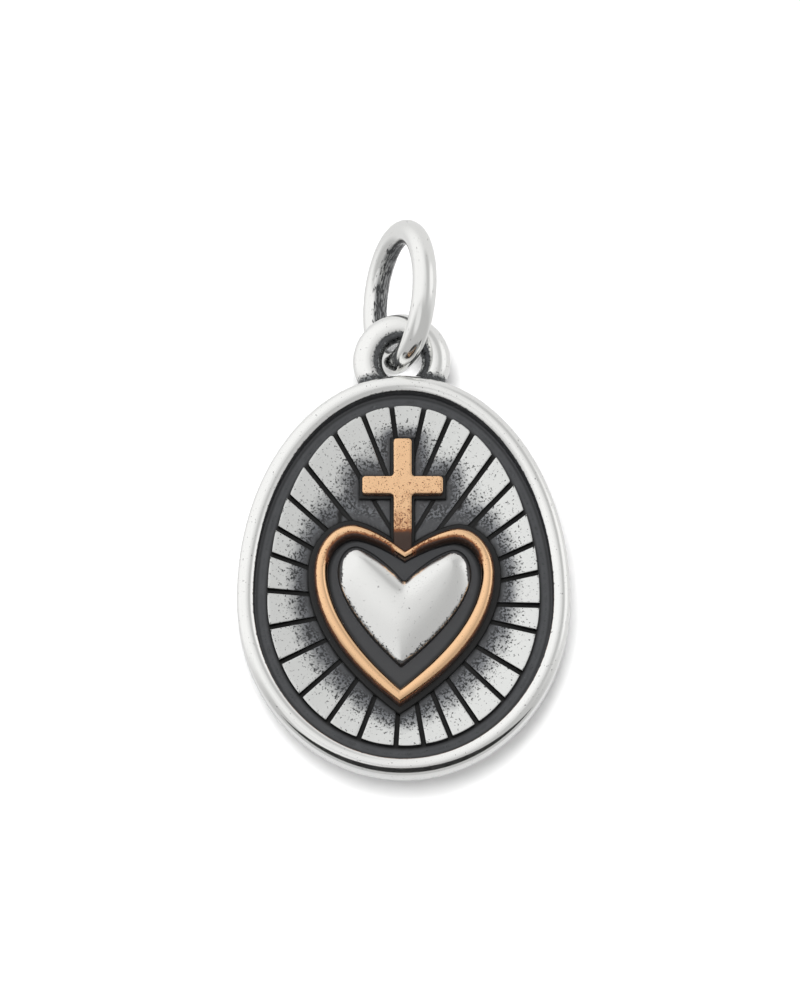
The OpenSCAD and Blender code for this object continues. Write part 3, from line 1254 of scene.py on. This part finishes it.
@dataclass
class Cross:
    """The bronze cross that rises out of the heart's notch."""

    height: float = 5.17
    span: float = 3.65
    bar: float = 0.82
    arm_y: float = 3.02
    top: float = 1.95
    corner: float = 0.14
    voxel: float = 0.045

    def marks(self, margin: float) -> dict[str, float]:
        """Lists the cross's edges in plan.

        Args:
            margin: How much wider than the cross they run, as for the step under it.

        Returns:
            The edges by name, the sideways ones from its middle line.
        """
        notch = HEART.cross_foot
        return {
            "bar": self.bar / 2 + margin,
            "span": self.span / 2 + margin,
            "foot": notch - HEART.band * HEART.foot_share + margin * 2.5,
            "top": notch + self.height + margin,
            "arm_low": notch + self.arm_y - self.bar / 2 - margin,
            "arm_high": notch + self.arm_y + self.bar / 2 + margin,
        }

    def plan(self, margin: float) -> list[Point]:
        """Gives the cross's outline on the lying medal.

        Args:
            margin: How much wider than the cross it runs.

        Returns:
            The points, clockwise from its foot's left.
        """
        m = self.marks(margin)
        edges = (
            ("bar", "top"), ("bar", "arm_high"), ("span", "arm_high"),
            ("span", "arm_low"), ("bar", "arm_low"), ("bar", "foot"),
        )
        right = [(m[x], m[y]) for x, y in edges]
        left = [(-x, y) for x, y in reversed(right)]
        return [(x + HEART.cross_x, y) for x, y in left + right]

    def film(self, lying: np.ndarray) -> np.ndarray:
        """Says how black the cross is: its foot, past the full film with painted shade where it meets the
        step, its sides, and pits that thin out upwards.

        Args:
            lying: Rows of x, y and h on the lying medal.

        Returns:
            The patina of each.
        """
        rise = (lying[:, 2] - HEART.step_top) / (self.top - HEART.step_top)
        up = lying[:, 1] - HEART.cross_foot
        sides = 1 - smoothstep(0.35, 0.85, rise)
        # Painted shade past the full film at the foot.
        foot = 1.35 * (1 - smoothstep(0.6, 1.3, up))
        pits = 0.18 + 0.3 * (1 - smoothstep(0.5, 4.5, up))
        return np.maximum.reduce([sides, foot, pits])

    def make(self, metal: bpy.types.Material) -> bpy.types.Object:
        """Builds the cross from a cube with extruded arms, then softens and dresses it.

        Args:
            metal: Its finish.

        Returns:
            The piece.
        """
        m = self.marks(0.0)
        select_nothing()
        bpy.ops.mesh.primitive_cube_add(size=1)
        piece = bpy.context.object
        piece.name = "bronze_cross"
        for vert in piece.data.vertices:
            x = math.copysign(m["bar"], vert.co.x) + HEART.cross_x
            y = m["arm_high"] if vert.co.z > 0 else m["arm_low"]
            h = self.top if vert.co.y < 0 else HEART.step_top - 0.05
            vert.co = PLACE.hung(x, y, h)
        arms = (
            (Vector((1, 0, 0)), m["span"] - m["bar"]),
            (Vector((-1, 0, 0)), m["span"] - m["bar"]),
            (Vector((0, 0, 1)), m["top"] - m["arm_high"]),
            (Vector((0, 0, -1)), m["arm_low"] - m["foot"]),
        )
        middle = PLACE.hung(HEART.cross_x, (m["arm_high"] + m["arm_low"]) / 2, self.top)
        bpy.ops.object.mode_set(mode="EDIT")
        for way, length in arms:
            bpy.ops.mesh.select_all(action="DESELECT")
            mesh = bmesh.from_edit_mesh(piece.data)
            for face in mesh.faces:
                near = (face.calc_center_median() - middle).xz.length < self.bar * 0.6 * MM
                if face.normal.dot(way) > 0.9 and near:
                    face.select_set(True)
            bmesh.update_edit_mesh(piece.data)
            bpy.ops.mesh.extrude_region_move(TRANSFORM_OT_translate={"value": tuple(way * length * MM)})
        sharp = math.radians(60)
        choose_edges(
            piece,
            lambda edge: abs(edge.verts[0].co.y - edge.verts[1].co.y) > 0.9 * edge.calc_length()
            and edge.calc_face_angle(0) > sharp,
        )
        bpy.ops.mesh.bevel(offset=self.corner * MM, segments=5, affect="EDGES")
        close_up(piece)
        finish_with(
            piece,
            "BEVEL",
            width=self.corner * MM,
            segments=4,
            limit_method="ANGLE",
            angle_limit=SHARP_FROM,
        )
        remesh(piece, self.voxel, 4)
        darken(piece, self.film)
        return settle(piece, Part.BRONZE, metal)


@dataclass
class JumpRing:
    """The loose ring of round silver wire that the eye hangs on."""

    wire: float = 1.08
    radius: float = 3.0
    turn: float = 22.0
    lean: float = 2.0
    middle: tuple[float, float, float] = (-0.0859, 0.0, -2.4585)

    @property
    def tilt(self) -> Matrix:
        """Gives the turn that stands the ring up, its axis from +Z."""
        turns = ((self.lean, "Y"), (self.turn, "Z"), (90.0, "Y"))
        lean, turn, upright = (Matrix.Rotation(math.radians(angle), 3, axis) for angle, axis in turns)
        return lean @ turn @ upright

    def film(self, lying: np.ndarray) -> np.ndarray:
        """Says how black the wire is: on the ring's inside, all but its left edge.

        Args:
            lying: Rows of x, y and h on the lying medal.

        Returns:
            The patina of each.
        """
        places = [PLACE.hung(*row) / MM - Vector(self.middle) for row in lying]
        axis = self.tilt @ Vector((0, 0, 1))
        off = np.array([place @ axis for place in places])
        reach = np.array([place.length for place in places]) - self.radius
        return 0.62 * (1 - smoothstep(-0.2, 0.1, reach)) * smoothstep(-0.42, -0.18, off)

    def make(self, metal: bpy.types.Material) -> bpy.types.Object:
        """Builds and dresses the ring.

        Args:
            metal: Its finish.

        Returns:
            The piece.
        """
        select_nothing()
        bpy.ops.mesh.primitive_torus_add(
            major_radius=self.radius * MM,
            minor_radius=self.wire / 2 * MM,
            major_segments=200,
            minor_segments=48,
        )
        piece = bpy.context.object
        piece.name = "jump_ring_wire"
        piece.matrix_world = Matrix.Translation(Vector(self.middle) * MM) @ self.tilt.to_4x4()
        bpy.ops.object.transform_apply(location=True, rotation=True, scale=True)
        darken(piece, self.film)
        # As in the photograph, only the medal throws a shadow on the paper.
        piece.visible_shadow = False
        return settle(piece, Part.RING, metal)


# The studio


@dataclass(frozen=True)
class Lamp:
    """A flat lamp that faces the medal, and that the metals don't mirror.

    Attributes:
        name: Its name.
        place: Its place in millimetres.
        size: Its width and height in millimetres.
        level: How bright it makes a white surface that faces it, where 1 is white.
    """

    name: str
    place: tuple[float, float, float]
    size: Point
    level: float


@dataclass(frozen=True)
class Panel:
    """A soft white or dark panel round the pendant, far off, that the metals mirror.

    Attributes:
        name: What it is.
        way: The direction to its middle.
        reach: Cosines to its middle at which it starts and is full.
        level: Its brightness, where 1 is white.
        upright: For a strip, the direction square to its length.
        width: Sines off the strip's middle line at which it is full and ends.
    """

    name: str
    way: tuple[float, float, float]
    reach: Point
    level: float
    upright: tuple[float, float, float] | None = None
    width: Point = (0.0, 1.0)


@dataclass
class Studio:
    """A white wall close behind the pendant, sweeping to a floor, a soft lamp and the camera."""

    camera_distance: float = 400.0
    camera_drop: float = 11.0
    field_height: float = 45.05
    aim: tuple[float, float, float] = (-0.0685, -1.01, -12.019)
    wall_y: float = 12.0
    floor_z: float = -150.0
    half_width: float = 450.0
    wall_top: float = 300.0
    floor_front: float = -600.0
    cove: float = 60.0
    lamp: Lamp = Lamp("front", (-13.5, -700.0, -98.0), (50.0, 65.0), 0.85)
    panels: tuple[Panel, ...] = (
        Panel("left box", (-0.81, -0.47, 0.34), (0.25, 0.88), 1.0),
        Panel("right dim", (0.57, -0.82, 0.1), (0.45, 0.8), 0.56, (0.82, 0.57, 0.0), (0.1, 0.38)),
        Panel("right box", (0.92, -0.3, 0.26), (0.9, 0.98), 1.0),
        Panel("lower half", (0.0, 0.0, -1.0), (0.0, 0.5), 0.53),
        Panel("low left box", (-0.4, -0.74, -0.54), (0.88, 0.98), 0.84),
    )
    # Where the card that paints the reflection of shade under the medal bends round: its bearings, gap from
    # the outline, offset and depth.
    shade_card_from: float = 128.0
    shade_card_to: float = 228.0
    shade_card_gap: float = 2.5
    shade_card_back: float = -0.5
    shade_card_depth: float = 4.7
    around: float = 0.76
    ambient: float = 0.096
    lift: float = 0.12

    def camera(self) -> None:
        """Stands the camera where the photograph was taken from."""
        drop = math.radians(self.camera_drop)
        back = Vector((0, -math.cos(drop), -math.sin(drop)))
        bpy.ops.object.camera_add(location=(Vector(self.aim) + back * self.camera_distance) * MM)
        eye = bpy.context.object
        eye.name = "camera"
        eye.rotation_euler = Euler((math.radians(90) + drop, 0, 0))
        eye.data.sensor_fit = "VERTICAL"
        eye.data.sensor_height = 36
        eye.data.lens = 36 * self.camera_distance / self.field_height
        eye.data.clip_start = 0.01
        eye.data.clip_end = 10
        bpy.context.scene.camera = eye

    def hang_lamp(self) -> None:
        """Hangs the lamp so that it faces the medal."""
        place = Vector(self.lamp.place) * MM
        away = place - Vector(self.aim) * MM
        bpy.ops.object.light_add(type="AREA", location=place)
        box = bpy.context.object
        box.name = f"lamp_{self.lamp.name}"
        box.data.shape = "RECTANGLE"
        box.data.size = self.lamp.size[0] * MM
        box.data.size_y = self.lamp.size[1] * MM
        box.data.energy = self.lamp.level * math.pi * math.pi * away.length_squared
        box.rotation_mode = "QUATERNION"
        box.rotation_quaternion = away.to_track_quat("Z", "Y")
        box.visible_glossy = False

    def paper(self) -> bpy.types.Material:
        """Makes the white paper of the wall and floor, clear from behind.

        Returns:
            The paper.
        """
        sheet = bpy.data.materials.new("white_background_paper")
        tree = fresh_tree(sheet)
        seen = add_node(tree, "LightPath")["Is Camera Ray"]
        seen = add_node(tree, "Math", {0: seen, 1: self.lift}, operation="MULTIPLY")[0]
        matt = add_node(tree, "BsdfDiffuse", {"Color": linear("#FAFAFA")})[0]
        lift = add_node(tree, "Emission", {"Strength": seen})[0]
        lit = add_node(tree, "AddShader", {0: matt, 1: lift})[0]
        clear = add_node(tree, "BsdfTransparent")[0]
        behind = add_node(tree, "NewGeometry")["Backfacing"]
        whole = add_node(tree, "MixShader", {0: behind, 1: lit, 2: clear})[0]
        add_node(tree, "OutputMaterial", {"Surface": whole})
        return sheet

    def backdrop(self) -> None:
        """Folds one sheet of paper into the wall and the floor, with a wide cove between."""
        select_nothing()
        bpy.ops.mesh.primitive_plane_add(size=1)
        sheet = bpy.context.object
        sheet.name = "backdrop"
        for vert in sheet.data.vertices:
            z = self.wall_top if vert.co.y > 0 else self.floor_z
            vert.co = Vector((math.copysign(self.half_width, vert.co.x), self.wall_y, z)) * MM
        bpy.ops.object.mode_set(mode="EDIT")
        low = (self.floor_z + 1) * MM
        choose_edges(sheet, lambda edge: all(vert.co.z < low for vert in edge.verts))
        reach = (self.floor_front - self.wall_y) * MM
        bpy.ops.mesh.extrude_edges_move(TRANSFORM_OT_translate={"value": (0, reach, 0)})
        choose_edges(sheet, lambda edge: len(edge.link_faces) == 2)
        bpy.ops.mesh.bevel(offset=self.cove * MM, segments=16, affect="EDGES")
        mesh = bmesh.from_edit_mesh(sheet.data)
        bmesh.ops.recalc_face_normals(mesh, faces=mesh.faces)
        wall = max(mesh.faces, key=lambda face: face.calc_center_median().z)
        if wall.normal.y > 0:
            bmesh.ops.reverse_faces(mesh, faces=mesh.faces)
        bmesh.update_edit_mesh(sheet.data)
        bpy.ops.object.mode_set(mode="OBJECT")
        bpy.ops.object.shade_smooth()
        sheet.data.materials.append(self.paper())
        sheet.visible_shadow = False
        sheet.visible_glossy = False

    def shade_card(self) -> None:
        """Bends a narrow dark grey card round under the medal, which only the metals see: a painted
        reflection of the shaded paper under its lower edge.
        """
        select_nothing()
        bpy.ops.mesh.primitive_grid_add(x_subdivisions=40, y_subdivisions=1, size=1)
        card = bpy.context.object
        card.name = "painted_shade_card"
        for vert in card.data.vertices:
            share = vert.co.x + 0.5
            bearing = self.shade_card_from + (self.shade_card_to - self.shade_card_from) * share
            depth = self.shade_card_depth * math.sin(math.pi * share) if vert.co.y < 0 else 0.0
            vert.co = PLACE.hung(*EGG.inset(bearing, -self.shade_card_gap), 0.0)
            vert.co.y = (self.shade_card_back - depth) * MM
        # Painted shade: the grey that the metals mirror under the medal.
        grey = bpy.data.materials.new("painted_shade_card_grey")
        tree = fresh_tree(grey)
        matt = add_node(tree, "BsdfDiffuse", {"Color": linear("#5A5A5A")})[0]
        add_node(tree, "OutputMaterial", {"Surface": matt})
        card.data.materials.append(grey)
        card.visible_camera = False
        card.visible_diffuse = False
        card.visible_shadow = False

    def stand(
        self, panel: Panel, tree: bpy.types.NodeTree, ahead: bpy.types.NodeSocket
    ) -> bpy.types.NodeSocket:
        """Adds a panel's nodes to the world.

        Args:
            panel: The panel.
            tree: The world's nodes.
            ahead: The direction looked in.

        Returns:
            How much of the panel is seen there, from 0 to 1.
        """
        inputs = {0: ahead, 1: Vector(panel.way).normalized()}
        near = add_node(tree, "VectorMath", inputs, operation="DOT_PRODUCT")["Value"]
        inputs = {"Value": near, "From Min": panel.reach[0], "From Max": panel.reach[1]}
        seen = add_node(tree, "MapRange", inputs, interpolation_type="SMOOTHSTEP")[0]
        if panel.upright is None:
            return seen
        inputs = {0: ahead, 1: Vector(panel.upright)}
        off = add_node(tree, "VectorMath", inputs, operation="DOT_PRODUCT")["Value"]
        off = add_node(tree, "Math", {0: off}, operation="ABSOLUTE")[0]
        inputs = {"Value": off, "From Min": panel.width[0], "From Max": panel.width[1]}
        inputs |= {"To Min": 1.0, "To Max": 0.0}
        strip = add_node(tree, "MapRange", inputs, interpolation_type="SMOOTHSTEP")[0]
        return add_node(tree, "Math", {0: seen, 1: strip}, operation="MULTIPLY")[0]

    def air(self) -> None:
        """Fills the studio with pale light: white to the camera, panels to the metals."""
        world = bpy.data.worlds.new("white_studio")
        bpy.context.scene.world = world
        tree = fresh_tree(world)
        path = add_node(tree, "LightPath")
        ahead = add_node(tree, "TexCoord")["Generated"]
        level = self.around
        for panel in self.panels:
            inputs = {0: self.stand(panel, tree, ahead), 2: level, 3: panel.level}
            level = add_node(tree, "Mix", inputs, data_type="FLOAT")[0]
        inputs = {0: path["Is Glossy Ray"], 2: self.ambient, 3: level}
        mirrored = add_node(tree, "Mix", inputs, data_type="FLOAT")[0]
        inputs = {0: path["Is Camera Ray"], 2: mirrored, 3: 1.0}
        white = add_node(tree, "Mix", inputs, data_type="FLOAT")[0]
        lit = add_node(tree, "Background", {"Color": linear("#FFFFFF"), "Strength": white})[0]
        add_node(tree, "OutputWorld", {"Surface": lit})

    def build(self) -> None:
        """Sets up the whole studio."""
        self.camera()
        self.backdrop()
        self.shade_card()
        self.air()
        self.hang_lamp()
        bpy.context.scene.view_settings.view_transform = "Standard"


def main() -> None:
    """Builds the studio and the pendant."""
    logging.basicConfig(level=logging.INFO, format="%(name)s: %(message)s")
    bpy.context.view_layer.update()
    # Cast sterling silver, blackened and then polished: bright high places with a soft white
    # gloss, and charcoal recesses.
    silver = AntiquedMetal(
        "polished_sterling_silver_casting",
        bright="#F6F6F4",
        worn="#707375",
        pit="#2E2F30",
        # Painted shade, for the narrowest corners past the full film.
        black="#4B4C4E",
        painted_shade="#0E0E0E",
        polish=0.14,
        dull=0.5,
    )
    # The same silver on the rays, only brushed over: an even satin white, scattered black pits
    # and a grey film that closes to graphite where the brush never reached.
    brushed = replace(
        silver,
        name="brushed_antiqued_silver",
        bright="#EEEFED",
        worn="#84868A",
        polish=0.38,
        first=0.68,
        spread=0.2,
        veil=(0.25, 0.95),
        cover=(0.9, 1.2),
    )
    # The same silver on the puffed heart, finished with a finer polish: a satin gloss.
    satin = replace(silver, name="satin_sterling_silver", bright="#F1F1EF", polish=0.2, grain_mm=1.2)
    # Cast bronze with the same black film: warm rose-gold gloss with brown-black pits.
    bronze = AntiquedMetal(
        "antiqued_bronze_casting",
        bright="#FCCFA2",
        worn="#A8683E",
        pit="#6B3F26",
        black="#3A2A22",
        # Painted shade, for the narrowest corners past the full film.
        painted_shade="#120C09",
        polish=0.2,
        dull=0.5,
        speck_mm=0.07,
    )
    # Drawn sterling silver wire, tumbled: a smooth gloss, grey streaks along its inside.
    wire = replace(
        silver,
        name="tumbled_silver_wire",
        bright="#F4F4F2",
        worn="#6C6E70",
        polish=0.12,
        cover=(2.2, 2.6),
        grain_mm=2.0,
        follows=Grain.WIRE,
    )
    Studio().build()
    cast, antiqued = silver.build(), bronze.build()
    parts = (
        (Blank(), cast),
        (RayField(), brushed.build()),
        (BronzeStep(), cast),
        (PuffedHeart(), satin.build()),
        (HangingEye(), cast),
        (HeartBand(), antiqued),
        (Cross(), antiqued),
        (JumpRing(), wire.build()),
    )
    for part, metal in parts:
        part.make(metal)


if __name__ == "__main__":
    main()
